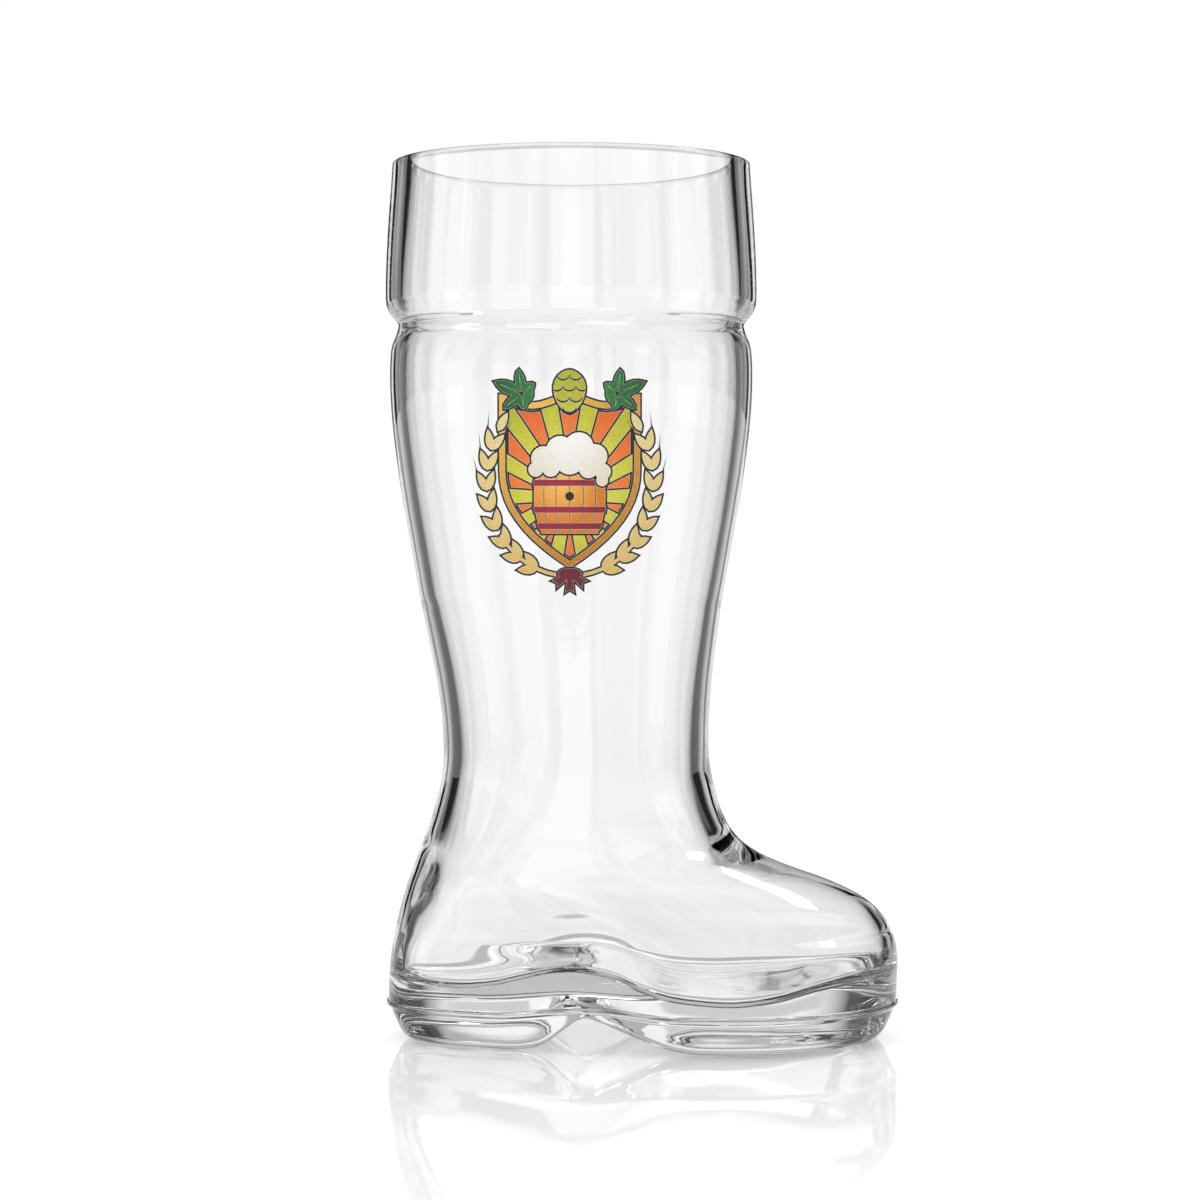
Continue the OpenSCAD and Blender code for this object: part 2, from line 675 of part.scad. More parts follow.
// One film of fired ink on the shaft: the design's shapes cut through a thin shell round it
module film(tint)
    color(tint)
        intersection() {
            translate([shaft_x, 0, 0])
                rotate_extrude($fn = shaft_facets)
                    polygon(concat(
                        [for (r = shaft_rows) [r[1] + ink_gap + ink_t, r[0]]],
                        [for (r = reversed(shaft_rows)) [r[1] + ink_gap, r[0]]]
                    ));
            translate([shaft_x, 0, print_h])
                rotate([quarter_turn, 0, 0])
                    linear_extrude(ink_reach)
                        offset(delta = -ink_split / 2)
                            children();
        }

module print_ground()
    film([0.82, 0.80, 0.25]) {
        difference() {
            shield_field();
            over_rays();
            lined() sun_rays();
        }
        difference() {
            cone();
            lined() {
                tie();
                ears();
            }
            fine_lines();
        }
    }
module print_rays()
    film([0.94, 0.47, 0.13])
        difference() {
            sun_rays();
            over_rays();
        }
module print_border()
    film([0.87, 0.62, 0.13])
        difference() {
            offset(delta = -line_w) shield();
            offset(delta = line_w) shield_field();
            over_rays();
        }
module print_barrel()
    film([0.96, 0.66, 0.2])
        difference() {
            barrel();
            hoops();
            over_barrel();
            fine_lines();
        }
module print_hoops()
    film([0.55, 0.12, 0.2]) {
        tie();
        difference() {
            hoops();
            over_barrel();
        }
    }
module print_foam()
    film([1, 1, 1])
        difference() {
            froth();
            over_froth();
        }
module print_barley()
    film([0.94, 0.88, 0.6])
        difference() {
            ears();
            lined() tie();
        }
module print_leaves()
    film([0.13, 0.48, 0.2])
        difference() {
            leaves();
            over_leaves();
            fine_lines();
        }

// The black line round the first child, where the other children don't cover it
module edge_of()
    difference() {
        lined() children(0);
        children();
    }
module print_outline()
    film([0.08, 0.07, 0.06]) {
        edge_of() tie();
        edge_of() {
            ears();
            lined() tie();
        }
        edge_of() {
            cone();
            lined() {
                tie();
                ears();
            }
        }
        edge_of() {
            leaves();
            over_leaves();
        }
        edge_of() {
            froth();
            over_froth();
        }
        edge_of() {
            union() {
                barrel();
                hoops();
            }
            over_barrel();
        }
        edge_of() {
            sun_rays();
            over_rays();
        }
        edge_of() {
            shield_field();
            over_rays();
        }
        difference() {
            shield();
            offset(delta = -line_w) shield();
            over_rays();
        }
        fine_lines();
    }

glass_boot();
print_ground();
print_rays();
print_border();
print_barrel();
print_hoops();
print_foam();
print_barley();
print_leaves();
print_outline();
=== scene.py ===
# Beer boot glass: one moulded glass, with a design fired onto the front of its shaft
import math

import bpy
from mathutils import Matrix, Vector, noise


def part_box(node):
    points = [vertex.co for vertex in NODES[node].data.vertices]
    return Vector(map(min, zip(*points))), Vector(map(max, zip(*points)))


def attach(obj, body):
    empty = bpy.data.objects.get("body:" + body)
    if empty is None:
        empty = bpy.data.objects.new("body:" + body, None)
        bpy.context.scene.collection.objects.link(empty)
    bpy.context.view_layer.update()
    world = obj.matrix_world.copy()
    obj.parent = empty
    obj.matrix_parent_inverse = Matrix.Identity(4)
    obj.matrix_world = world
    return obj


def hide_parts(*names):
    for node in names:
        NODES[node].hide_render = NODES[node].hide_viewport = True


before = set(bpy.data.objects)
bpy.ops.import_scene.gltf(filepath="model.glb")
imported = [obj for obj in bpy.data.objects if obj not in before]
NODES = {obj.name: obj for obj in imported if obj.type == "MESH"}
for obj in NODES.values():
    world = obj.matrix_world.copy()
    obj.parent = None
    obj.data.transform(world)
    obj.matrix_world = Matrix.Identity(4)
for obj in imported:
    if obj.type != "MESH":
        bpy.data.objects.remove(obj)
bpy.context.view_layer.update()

MM = 0.001


# Curves and tables

def mix(a, b, t):
    return a + (b - a) * t


def ease(t):
    t = min(max(t, 0), 1)
    return t * t * (3 - 2 * t)


def row_at(rows, q):
    """A smooth row between the rows of a table, by a Catmull-Rom curve."""
    last = len(rows) - 1
    i = min(max(int(q), 0), last - 1)
    t = q - i
    near = [rows[min(max(i + k, 0), last)] for k in (-1, 0, 1, 2)]
    return [
        (2 * b + (c - a) * t + (2 * a - 5 * b + 4 * c - d) * t * t + (3 * b - a - 3 * c + d) * t**3) / 2
        for a, b, c, d in zip(*near)
    ]


def height_at(table, x):
    """A smooth height at x along a table of (x, height), flat beyond both ends."""
    last = len(table) - 1
    if x <= table[0][0]:
        return table[0][1]
    if x >= table[last][0]:
        return table[last][1]
    i = max(k for k in range(last) if table[k][0] <= x)

    def slope(k):
        if k in (0, last):
            return 0
        return (table[k + 1][1] - table[k - 1][1]) / (table[k + 1][0] - table[k - 1][0])

    run = table[i + 1][0] - table[i][0]
    t = (x - table[i][0]) / run
    bend = t * (1 - t) * (1 - t) * slope(i) - t * t * (1 - t) * slope(i + 1)
    return mix(table[i][1], table[i + 1][1], t * t * (3 - 2 * t)) + run * bend


# Sizes of the boot in millimetres: the ends come from its solid, the rest are the solid's own sizes
boot_low, boot_high = (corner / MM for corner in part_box("glass_boot"))
print_low, print_high = (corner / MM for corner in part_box("print_outline"))
SEAM_OUT = 0.45
HEIGHT = boot_high.z
HEEL_X = boot_low.x + SEAM_OUT
TOE_X = boot_high.x - SEAM_OUT
SHAFT_X = (print_low.x + print_high.x) / 2
COLLAR_R = boot_high.y
RIM_R = COLLAR_R - 1.5
GROOVE_R = COLLAR_R - 2.8
CALF_R = COLLAR_R - 0.9
SHIN_R = 33.2
ANKLE_R = 29.3
GROOVE_Z = HEIGHT - 35.8
COLLAR_Z = GROOVE_Z + 5.4
CALF_Z = GROOVE_Z - 11.6
SHIN_Z = 96.5
ANKLE_Z = 62
ANKLE_X = SHAFT_X + 1.1
HEEL_HALF = 25
BALL_HALF = 32
WAIST_IN = 2
SEAM_Z = 8.1
SEAM_RISE = 1.6
SEAM_RUN = 20
SOLE_IN = 6.5
ARCH_RUN = 43.8
ARCH_X = HEEL_X + ARCH_RUN
ARCH_H = 7.4
WALL_RIM = 4
WALL_SHAFT = 3.2
WALL_ANKLE = 3.8
WALL_INSTEP = 4.2
WALL_TOP = 1.8
WALL_TOE = 2.6
FLOOR_HEEL = 13
FLOOR_ARCH = 17.6
FLOOR_BALL = 10.6
FLOOR_TOE = 14
FLOOR_ROUND = 3.5
RIM_ROUND = 0.6
LIP_Z = HEIGHT - RIM_ROUND

# Shares of each stretch of the shaft from the bottom up: height, then radius
CALF_SHARES = [(0, 0), (0.13, 0.17), (0.27, 0.35), (0.41, 0.53), (0.55, 0.69), (0.68, 0.82),
               (0.8, 0.92), (0.9, 0.975), (1, 1)]
UNDER_SHARES = [(0.35, 0.96), (0.62, 0.78), (0.84, 0.28), (1, 0)]
GROOVE_SHARES = [(0.12, 0.05), (0.34, 0.34), (0.55, 0.68), (0.8, 0.9), (1, 0.975)]
COLLAR_SHARES = [(0.08, 0), (0.25, 0.07), (0.45, 0.25), (0.65, 0.5), (0.85, 0.8), (1, 1)]
# Shares of the way from the shin down to the ankle: height, radius, shift of the centre
LEG_SHARES = [(0.27, 0.41, 0.3), (0.52, 0.757, 0.6), (0.76, 0.96, 0.85), (1, 1, 1)]
# Shares for the foot's sections: height, back, front, depths of the heel's and toe's rounds,
# half widths at heel and ball, waist
FOOT_SHARES = [
    (0.9, 0.06, 0.025, 0.492, 0.508, 0.12, -0.25, 0),
    (0.8, 0.19, 0.07, 0.467, 0.533, 0.3, -0.5, 0),
    (0.72, 0.33, 0.14, 0.435, 0.565, 0.45, -0.72, 0),
    (0.66, 0.44, 0.25, 0.394, 0.59, 0.54, -0.85, 0),
    (0.61, 0.535, 0.414, 0.35, 0.62, 0.61, -0.85, 0),
    (0.56, 0.63, 0.624, 0.307, 0.62, 0.67, -0.7, 0),
    (0.51, 0.71, 0.786, 0.278, 0.58, 0.72, -0.5, 0),
    (0.46, 0.78, 0.886, 0.26, 0.53, 0.77, -0.2, 0.1),
    (0.38, 0.87, 0.968, 0.245, 0.455, 0.85, 0.35, 0.35),
    (0.28, 0.94, 0.998, 0.235, 0.4, 0.93, 0.85, 0.7),
    (0.2, 0.975, 0.996, 0.23, 0.38, 0.98, 0.98, 0.9),
    (SEAM_Z / ANKLE_Z, 0.985, 0.992, 0.23, 0.372, 1, 1, 1),
]
# Walls of those sections: behind, in front, at the side
FOOT_WALLS = [
    (WALL_ANKLE, WALL_INSTEP, WALL_ANKLE),
    (WALL_ANKLE, WALL_INSTEP, mix(WALL_ANKLE, WALL_SHAFT, 0.33)),
    (WALL_ANKLE, WALL_INSTEP, mix(WALL_ANKLE, WALL_SHAFT, 0.5)),
    (WALL_SHAFT, mix(WALL_TOP, WALL_INSTEP, 0.5), WALL_SHAFT),
    (WALL_SHAFT, mix(WALL_TOP, WALL_INSTEP, 0.14), mix(WALL_TOE, WALL_SHAFT, 0.5)),
    (WALL_SHAFT, WALL_TOP, WALL_TOE),
    (WALL_SHAFT, WALL_TOP, WALL_TOE),
    (WALL_SHAFT, mix(WALL_TOP, WALL_TOE, 0.25), WALL_TOE),
    (WALL_SHAFT, mix(WALL_TOP, WALL_TOE, 0.75), WALL_TOE),
    (WALL_SHAFT, WALL_TOE, WALL_TOE),
    (WALL_SHAFT, WALL_TOE, WALL_TOE),
    (WALL_SHAFT, WALL_TOE, WALL_TOE),
]
# Shares of the drop from the seam to the ground, then of how far the sole draws in
SOLE_SHARES = [(0.06, 0.05), (0.3, 0.17), (0.56, 0.31), (0.78, 0.46), (0.93, 0.68), (1, 1)]


def shaft_wall(z):
    return mix(WALL_SHAFT, WALL_RIM, ease((z - GROOVE_Z) / (LIP_Z - GROOVE_Z)))


def round_row(z, r, x, wall):
    """A round section: height, back, front, two depths, two half widths, waist, three walls."""
    return [z, x - r, x + r, r, r, r, r, 0, wall, wall, wall]


def shaft_section_rows():
    """The shaft's sections from the rim down to the shin."""
    stretches = [
        (CALF_SHARES, SHIN_Z, CALF_Z, SHIN_R, CALF_R),
        (UNDER_SHARES, CALF_Z, GROOVE_Z, GROOVE_R, CALF_R),
        (GROOVE_SHARES, GROOVE_Z, COLLAR_Z, GROOVE_R, COLLAR_R),
        (COLLAR_SHARES, COLLAR_Z, LIP_Z, COLLAR_R, RIM_R),
    ]
    rows = [
        round_row(mix(z0, z1, s[0]), mix(r0, r1, s[1]), SHAFT_X, shaft_wall(mix(z0, z1, s[0])))
        for shares, z0, z1, r0, r1 in stretches
        for s in shares
    ]
    return rows[::-1]


def leg_section_rows():
    """The leg's sections from below the shin down to the ankle."""
    return [
        round_row(
            mix(SHIN_Z, ANKLE_Z, s[0]),
            mix(SHIN_R, ANKLE_R, s[1]),
            mix(SHAFT_X, ANKLE_X, s[2]),
            mix(WALL_SHAFT, WALL_ANKLE, s[0]),
        )
        for s in LEG_SHARES
    ]


def foot_section_rows():
    """The foot's sections from below the ankle down to the seam."""
    rows = []
    for s, walls in zip(FOOT_SHARES, FOOT_WALLS):
        back = mix(ANKLE_X - ANKLE_R, HEEL_X, s[1])
        front = mix(ANKLE_X + ANKLE_R, TOE_X, s[2])
        length = front - back
        heel, ball = mix(ANKLE_R, HEEL_HALF, s[5]), mix(ANKLE_R, BALL_HALF, s[6])
        rows.append([ANKLE_Z * s[0], back, front, length * s[3], length * s[4], heel, ball, s[7], *walls])
    return rows


shaft_rows = shaft_section_rows()
ROWS = shaft_rows + leg_section_rows() + foot_section_rows()
SHIN_Q = len(shaft_rows) - 1
SEAM_Q = len(ROWS) - 1
LOW_Q = SEAM_Q - 3
LOW_Z = ROWS[LOW_Q][0]

# Along the foot in millimetres: the arch under the sole and the floor inside
FOOT_L = TOE_X - HEEL_X
ARCH = [
    (ARCH_X + ARCH_RUN * along, ARCH_H * up)
    for along, up in [(-0.48, 0), (-0.3, 0.03), (-0.2, 0.2), (-0.1, 0.66), (-0.03, 0.97), (0, 1),
                      (0.06, 0.9), (0.2, 0.56), (0.34, 0.24), (0.46, 0.06), (0.58, 0)]
]
FLOOR = [
    (HEEL_X + FOOT_L * along, height)
    for along, height in [
        (0.05, FLOOR_HEEL), (0.14, FLOOR_HEEL), (0.21, mix(FLOOR_HEEL, FLOOR_ARCH, 0.2)),
        (0.27, mix(FLOOR_HEEL, FLOOR_ARCH, 0.58)), (0.33, mix(FLOOR_HEEL, FLOOR_ARCH, 0.93)),
        (0.385, FLOOR_ARCH), (0.44, mix(FLOOR_BALL, FLOOR_ARCH, 0.82)),
        (0.49, mix(FLOOR_BALL, FLOOR_ARCH, 0.47)), (0.54, mix(FLOOR_BALL, FLOOR_ARCH, 0.2)),
        (0.6, mix(FLOOR_BALL, FLOOR_ARCH, 0.06)), (0.67, FLOOR_BALL),
        (0.75, mix(FLOOR_BALL, FLOOR_TOE, 0.25)), (0.82, mix(FLOOR_BALL, FLOOR_TOE, 0.75)),
        (0.9, FLOOR_TOE),
    ]
]


def seam_z(x):
    return SEAM_Z + SEAM_RISE * (1 - ease(abs(x - ARCH_X) / SEAM_RUN))


# Sections: each is a ring of points, turned from the back
RING = 256
SIDE_FROM, SIDE_TO = 20, 110
WAIST_AT, WAIST_SPREAD = 72, 30
TURNS = [360 * i / RING for i in range(RING)]


def waist(half):
    off = abs(half - WAIST_AT) / WAIST_SPREAD
    return math.cos(math.pi / 2 * off) ** 2 if off < 1 else 0


def outline(row, turn, walls, inset=0):
    """The point of a section at a turn, with its walls taken off and an even inset."""
    half, side = (turn, 1) if turn <= 180 else (360 - turn, -1)
    back, front = row[1] + walls[0] + inset, row[2] - walls[1] - inset
    heel_depth, toe_depth = row[3] - walls[0] - inset, row[4] - walls[1] - inset
    e = ease((half - SIDE_FROM) / (SIDE_TO - SIDE_FROM))
    centre = mix(back + heel_depth, front - toe_depth, e)
    across = mix(row[5], row[6], e) - walls[2] - inset - WAIST_IN * row[7] * waist(half)
    a = math.radians(half)
    return centre - mix(heel_depth, toe_depth, e) * math.cos(a), side * across * math.sin(a)


# How far up and down the table of sections a lean is read
LEAN_REACH = 0.25


def leaning(q):
    """The walls across a section that leans: each wall times the length of its slope."""
    row = row_at(ROWS, q)
    if q <= SHIN_Q:
        return row[8:]
    up, down = row_at(ROWS, q - LEAN_REACH), row_at(ROWS, min(q + LEAN_REACH, SEAM_Q))
    drop = up[0] - down[0]
    return [
        row[8] * math.hypot(1, (up[1] - down[1]) / drop),
        row[9] * math.hypot(1, (up[2] - down[2]) / drop),
        row[10],
    ]


STEP = 1.0
NO_WALL = (0, 0, 0)


def steps_along(first_q, last_q):
    """Places on the table of sections about STEP millimetres apart, the last one left out."""
    qs = []
    for q in range(first_q, last_q):
        count = max(2, round(abs(ROWS[q][0] - ROWS[q + 1][0]) / STEP))
        qs += [q + k / count for k in range(count)]
    return qs


def level_ring(q, walls):
    row = row_at(ROWS, q)
    return [(*outline(row, turn, walls), row[0]) for turn in TURNS]


def outer_rings():
    """The outside from the rim down to the edge of the flats it stands on."""
    rings = [level_ring(q, NO_WALL) for q in steps_along(0, LOW_Q)]
    settle = 24
    for k in range(settle):
        t = k / settle
        row = row_at(ROWS, mix(LOW_Q, SEAM_Q, t))
        points = [outline(row, turn, NO_WALL) for turn in TURNS]
        rings.append([(x, y, mix(LOW_Z, seam_z(x) + SEAM_OUT, t)) for x, y in points])
    bead = 6
    for k in range(bead + 1):
        a = math.pi * k / bead
        points = [outline(ROWS[SEAM_Q], turn, NO_WALL, -SEAM_OUT * math.sin(a)) for turn in TURNS]
        rings.append([(x, y, seam_z(x) + SEAM_OUT * math.cos(a)) for x, y in points])
    side = 6
    for k in range(1, (len(SOLE_SHARES) - 1) * side + 1):
        drop, draw = row_at(SOLE_SHARES, k / side)
        points = [outline(ROWS[SEAM_Q], turn, NO_WALL, SOLE_IN * draw) for turn in TURNS]
        rings.append([
            (x, y, mix(seam_z(x) - SEAM_OUT, max(height_at(ARCH, x), 0), min(drop, 1))) for x, y in points
        ])
    return rings


def inner_rings():
    """The inside from the rim down to the edge of the floor."""
    rings = [level_ring(q, leaning(q)) for q in steps_along(0, LOW_Q)]
    settle = 24
    for k in range(settle):
        t = k / settle
        q = mix(LOW_Q, SEAM_Q - 1, t)
        points = [outline(row_at(ROWS, q), turn, leaning(q)) for turn in TURNS]
        rings.append([(x, y, mix(LOW_Z, height_at(FLOOR, x) + FLOOR_ROUND, t)) for x, y in points])
    bend = 8
    for k in range(bend + 1):
        a = math.pi / 2 * k / bend
        points = [
            outline(ROWS[SEAM_Q - 1], turn, leaning(SEAM_Q - 1), FLOOR_ROUND * (1 - math.cos(a)))
            for turn in TURNS
        ]
        rings.append([(x, y, height_at(FLOOR, x) + FLOOR_ROUND * (1 - math.sin(a))) for x, y in points])
    return rings


def lip_rings():
    """The polished rim, from the inside over its two rounded corners to the outside."""
    corner = 6
    flat = 4
    inner, outer = RIM_R - WALL_RIM + RIM_ROUND, RIM_R - RIM_ROUND
    quarter = math.pi / 2
    places = [(inner, math.pi - quarter * k / corner) for k in range(1, corner + 1)]
    places += [(mix(inner, outer, k / flat), quarter) for k in range(1, flat)]
    places += [(outer, quarter - quarter * k / corner) for k in range(corner)]
    rings = []
    for middle, a in places:
        r = middle + RIM_ROUND * math.cos(a)
        z = LIP_Z + RIM_ROUND * math.sin(a)
        turns = [math.radians(turn) for turn in TURNS]
        rings.append([(SHAFT_X - r * math.cos(b), r * math.sin(b), z) for b in turns])
    return rings


# How deep the inside's ripples are and how long, in millimetres. Unless a seed other than 0 is set, the noise
# takes one from the clock
RIPPLE = 0.015
RIPPLE_SPAN = Vector((7, 7, 22))
RIPPLE_SEED = 1
noise.seed_set(RIPPLE_SEED)


def rippled(point):
    """A point of the inside moved a little: moulding leaves long, shallow ripples."""
    place = Vector(point)
    span = Vector(a / b for a, b in zip(place, RIPPLE_SPAN))
    return place + RIPPLE * noise.noise_vector(span)


def across_faces(start, verts, height):
    """Faces from side to side of a ring whose points start there, with new points between them."""
    columns = 24
    half = RING // 2
    rows = []
    for k in range(1, half):
        left, right = start + k, start + RING - k
        a, b = verts[left], verts[right]
        row = [left]
        for c in range(1, columns):
            x, y = mix(a[0], b[0], c / columns), mix(a[1], b[1], c / columns)
            row.append(len(verts))
            verts.append((x, y, height(x)))
        rows.append(row + [right])
    faces = [(start, rows[0][c], rows[0][c + 1]) for c in range(columns)]
    for up, down in zip(rows, rows[1:]):
        faces += [(up[c], down[c], down[c + 1], up[c + 1]) for c in range(columns)]
    faces += [(rows[-1][c], start + half, rows[-1][c + 1]) for c in range(columns)]
    return faces


def glass_mesh():
    """One closed skin: up the inside from the floor, over the rim and down the outside to the sole."""
    inside = inner_rings()[::-1]
    rings = inside + lip_rings() + outer_rings()
    verts = [point for ring in rings for point in ring]
    faces = []
    for i in range(len(rings) - 1):
        for k in range(RING):
            a, b = i * RING + k, i * RING + (k + 1) % RING
            faces.append((a, b, b + RING, a + RING))
    sole = len(verts) - RING
    floor_from = len(verts)
    floor_faces = across_faces(0, verts, lambda x: height_at(FLOOR, x))
    for i in [*range((len(inside) - 1) * RING), *range(floor_from, len(verts))]:
        verts[i] = rippled(verts[i])
    sole_faces = across_faces(sole, verts, lambda x: max(height_at(ARCH, x), 0))
    faces += [face[::-1] for face in floor_faces] + sole_faces
    mesh = bpy.data.meshes.new("glass_boot_body")
    mesh.from_pydata([Vector(point) * MM for point in verts], [], faces)
    mesh.polygons.foreach_set("use_smooth", [True] * len(mesh.polygons))
    return mesh


# Materials

def linear(hex_colour):
    """An sRGB hex colour as the linear colour that a shader takes."""
    parts = [int(hex_colour[i:i + 2], 16) / 255 for i in (1, 3, 5)]
    return [c / 12.92 if c <= 0.04045 else ((c + 0.055) / 1.055) ** 2.4 for c in parts] + [1]


def add(tree, kind, settings=None, **links):
    """A node of that kind, with its settings, and its sockets set or linked: i0 is the first socket, and
    a name is written with _ for each space. A node given for a socket gives its first output."""
    node = tree.nodes.new(kind)
    for key, value in (settings or {}).items():
        setattr(node, key, value)
    for name, value in links.items():
        key = int(name[1:]) if name[0] == "i" and name[1:].isdigit() else name.replace("_", " ")
        if isinstance(value, bpy.types.Node):
            value = value.outputs[0]
        if isinstance(value, bpy.types.NodeSocket):
            tree.links.new(value, node.inputs[key])
        else:
            node.inputs[key].default_value = value
    return node


def new_material(name):
    material = bpy.data.materials.new(name)
    material.use_nodes = True
    material.node_tree.nodes.clear()
    return material, material.node_tree


def soda_lime_glass():
    """Clear soda-lime glass, pressed in a mould and fire-polished: a smooth, bright skin, a body that
    greys a little where it is thick."""
    material, tree = new_material("soda_lime_glass_pressed")
    skin = add(
        tree, "ShaderNodeBsdfPrincipled", Base_Color=linear("#FFFFFF"), Roughness=0.0, IOR=1.52,
        Transmission_Weight=1.0,
    )
    body = add(tree, "ShaderNodeVolumeAbsorption", Color=linear("#E7E8E8"), Density=6.0)
    add(tree, "ShaderNodeOutputMaterial", Surface=skin, Volume=body)
    return material


PRINT_X, PRINT_Z = SHAFT_X, (print_low.z + print_high.z) / 2
MOTTLE_MM = 0.5
MOTTLE_FROM, MOTTLE_TO, MOTTLE = 0.3, 0.7, 0.18
RELIEF_MM, RELIEF = 0.02, 0.15
ACROSS_AND_UP = (1, 0, 1)


def ceramic_ink(name, light, deep, centre, reach):
    """Ceramic ink, screen-printed and fired: opaque, dense colour with a soft enamel gloss, shaded from
    light in the middle to deep further out, and a little uneven. The screen's mesh, near 0.1 mm, is too
    fine to show, so the unevenness is drawn at half a millimetre."""
    material, tree = new_material(name)
    place = add(tree, "ShaderNodeTexCoord")
    flat = add(
        tree, "ShaderNodeVectorMath", {"operation": "MULTIPLY"}, i0=place.outputs["Object"], i1=ACROSS_AND_UP,
    )
    middle = ((PRINT_X + centre[0]) * MM, 0, (PRINT_Z + centre[1]) * MM)
    away = add(tree, "ShaderNodeVectorMath", {"operation": "DISTANCE"}, i0=flat, i1=middle)
    mottle = add(
        tree, "ShaderNodeTexNoise", Vector=place.outputs["Object"], Scale=1 / (MOTTLE_MM * MM), Detail=3.0,
        Roughness=0.6,
    )
    uneven = add(
        tree, "ShaderNodeMapRange", Value=mottle, From_Min=MOTTLE_FROM, From_Max=MOTTLE_TO, To_Min=-MOTTLE,
        To_Max=MOTTLE,
    )
    shade = add(tree, "ShaderNodeMapRange", Value=away.outputs["Value"], From_Max=reach * MM)
    both = add(tree, "ShaderNodeMath", {"operation": "ADD", "use_clamp": True}, i0=shade, i1=uneven)
    colour = add(tree, "ShaderNodeMix", {"data_type": "RGBA"}, i0=both, i6=linear(light), i7=linear(deep))
    bump = add(tree, "ShaderNodeBump", Height=mottle, Strength=RELIEF, Distance=RELIEF_MM * MM)
    enamel = add(
        tree, "ShaderNodeBsdfPrincipled", Base_Color=colour.outputs[2], Roughness=0.32, IOR=1.5, Normal=bump,
    )
    add(tree, "ShaderNodeOutputMaterial", Surface=enamel)
    return material


# Each ink: its name, the light and the deep of its colour, where it is light from the print's middle, and
# how far from there it is deep, in millimetres
INKS = {
    "print_ground": ("ceramic_ink_lime", "#F2EA5C", "#B3B222", (0, 0), 20),
    "print_rays": ("ceramic_ink_orange", "#FA9A3C", "#E4541A", (0, 0), 21),
    "print_border": ("ceramic_ink_gold", "#F6C34C", "#BE7A12", (-9, 15), 34),
    "print_barrel": ("ceramic_ink_amber", "#FFC65A", "#D87914", (-2, 0), 9),
    "print_hoops": ("ceramic_ink_burgundy", "#A82442", "#6A1024", (-2, -3), 14),
    "print_foam": ("ceramic_ink_white", "#FFFFFF", "#E9DFC6", (0, 9), 11),
    "print_barley": ("ceramic_ink_cream", "#F8EDB4", "#D6AE4C", (0, 8), 34),
    "print_leaves": ("ceramic_ink_green", "#2F9A40", "#0F5A22", (0, 20), 15),
    "print_outline": ("ceramic_ink_black", "#1A1512", "#0C0A09", (0, 0), 30),
}

# The glass itself, over its solid
boot = bpy.data.objects.new("glass_boot_body", glass_mesh())
bpy.context.scene.collection.objects.link(boot)
boot.data.materials.append(soda_lime_glass())
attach(boot, "root")
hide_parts("glass_boot")

for node_name, ink in INKS.items():
    for material_slot in NODES[node_name].material_slots:
        material_slot.material = ceramic_ink(*ink)


# Studio

def plane(name, corners, material):
    mesh = bpy.data.meshes.new(name)
    mesh.from_pydata(corners, [], [(0, 1, 2, 3)])
    mesh.materials.append(material)
    thing = bpy.data.objects.new(name, mesh)
    bpy.context.scene.collection.objects.link(thing)
    return thing


# What the camera alone sees added to the table, so that it meets the white behind it
TABLE_LIFT = 0.12


def white_table():
    """White acrylic sheet, polished: an even white with a soft mirror in it."""
    material, tree = new_material("white_acrylic_table")
    path = add(tree, "ShaderNodeLightPath")
    lift = add(
        tree, "ShaderNodeMath", {"operation": "MULTIPLY"}, i0=path.outputs["Is Camera Ray"], i1=TABLE_LIFT,
    )
    sheet = add(
        tree, "ShaderNodeBsdfPrincipled", Base_Color=linear("#FFFFFF"), Roughness=0.05, IOR=1.4,
        Emission_Color=linear("#FFFFFF"), Emission_Strength=lift,
    )
    add(tree, "ShaderNodeOutputMaterial", Surface=sheet)
    return material


TABLE_HALF = 12.0
TABLE_GAP = 0.0002
table = plane(
    "table",
    [(-TABLE_HALF, -TABLE_HALF, -TABLE_GAP), (TABLE_HALF, -TABLE_HALF, -TABLE_GAP),
     (TABLE_HALF, TABLE_HALF, -TABLE_GAP), (-TABLE_HALF, TABLE_HALF, -TABLE_GAP)],
    white_table(),
)
table.visible_transmission = False

world = bpy.data.worlds.new("studio")
bpy.context.scene.world = world
world.use_nodes = True
world.node_tree.nodes.clear()
tree = world.node_tree


# The studio around the glass, by the direction of a ray: its rise from level, as a share, and its turn, as an
# angle off the middle of the nearest window. A white window stands at each quarter of a turn and one more
# behind to the right; far below level there is one at each eighth
EIGHTH = math.radians(45)
LEVEL_FROM, LEVEL_TO = -0.28, -0.2
BEHIND_RIGHT = math.radians(-45)
# Near black cards between the windows, for light mirrored inside a wall. A paler slit runs down each side of
# a card, and the cards end short of straight down and are paler high up
CARD_FROM, CARD_TO = math.radians(14.5), math.radians(16)
SLIT_FROM, SLIT_TO, SLIT_DARK = math.radians(21), math.radians(23), 0.42
FAR_FROM, FAR_TO, FAR_DARK = math.radians(25), math.radians(36), 0.98
STEEP_FROM, STEEP_TO = -0.85, -0.75
HIGH_FROM, HIGH_TO, HIGH_CARD = 0.3, 0.45, 0.6
# A dark ground for mirrored light that goes down, and black for light mirrored three to eight times, most of
# which is in the thick ends of heel and toe
MIRROR_FROM, MIRROR_TO, MIRROR_DARK = -0.09, -0.12, 0.53
MANY, MANY_REACH = 5.5, 3
# For light that only bent on its way: a shade that deepens away from a window, and a faint one low down
SHADE_FROM, SHADE_TO, SHADE, SHADE_BEND = math.radians(11), math.radians(36), 0.97, 2.0
LOW_FROM, LOW_TO, LOW_END, LOW_SHADE = -0.06, -0.16, -0.5, 0.1
LOW_HALF, LOW_HALF_END = math.radians(20), math.radians(32)
